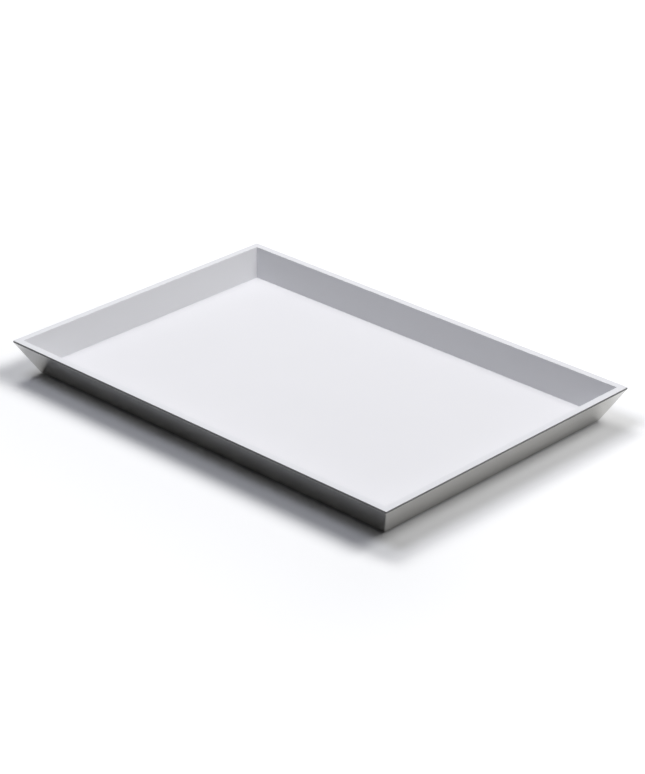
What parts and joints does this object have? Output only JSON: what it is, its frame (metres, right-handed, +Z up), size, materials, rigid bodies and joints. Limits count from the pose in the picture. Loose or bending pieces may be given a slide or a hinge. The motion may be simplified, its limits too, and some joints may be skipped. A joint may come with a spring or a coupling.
{
  "type": "serving tray",
  "caption": "Shallow rectangular serving tray with four flared mitred sides, white inside and on the rim, silver metal facings outside, small pads underneath.",
  "frame": {"origin": "on the surface that the tray stands on, under the middle of the tray", "axes": "+X along the long sides, +Y to the back along the short sides, +Z up through the open top"},
  "size_m": [0.46, 0.311, 0.033],
  "materials": {
    "white_lacquer": "satin white lacquer on fibreboard",
    "silver_facing": "satin silver",
    "spline_wood": "raw beech",
    "pad_rubber": "matte"
  },
  "bodies": {
    "root": {"base_panel": "white_lacquer", "front_wall": "white_lacquer", "back_wall": "white_lacquer", "left_wall": "white_lacquer", "right_wall": "white_lacquer", "front_facing": "silver_facing", "back_facing": "silver_facing", "left_facing": "silver_facing", "right_facing": "silver_facing", "corner_spline_front_left": "spline_wood", "corner_spline_front_right": "spline_wood", "corner_spline_back_left": "spline_wood", "corner_spline_back_right": "spline_wood", "foot_pad_front_left": "pad_rubber", "foot_pad_front_right": "pad_rubber", "foot_pad_back_left": "pad_rubber", "foot_pad_back_right": "pad_rubber"}
  },
  "joints": []
}
